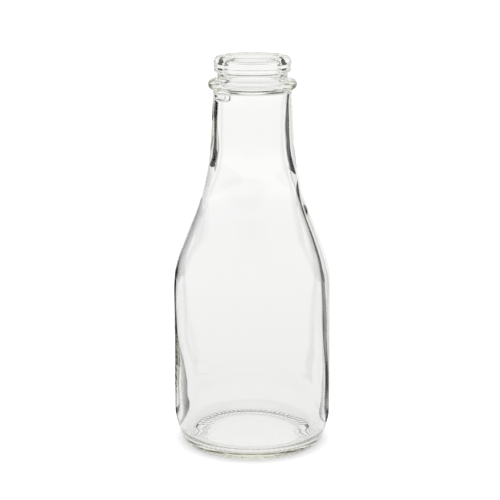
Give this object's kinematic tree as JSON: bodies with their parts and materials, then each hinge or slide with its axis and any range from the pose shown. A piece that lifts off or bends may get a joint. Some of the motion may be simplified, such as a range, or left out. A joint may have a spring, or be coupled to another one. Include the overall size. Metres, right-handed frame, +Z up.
{
  "type": "glass milk bottle",
  "caption": "Open round bottle of clear glass: straight body, long sloping shoulder, tapered neck with a collar ring, and a rounded lip for a push-fit cap.",
  "frame": {"origin": "centre of the foot ring, on the surface the bottle stands on", "axes": "+Z up the bottle's axis and out of its mouth; +Y away from a viewer who sees the collar's lug to the left"},
  "size_m": [0.097, 0.097, 0.2405],
  "materials": {
    "clear_glass": "clear, smooth, fire-polished, with the faintest olive tint where the glass is thick"
  },
  "bodies": {
    "root": {"glass_bottle": "clear_glass"}
  },
  "joints": []
}
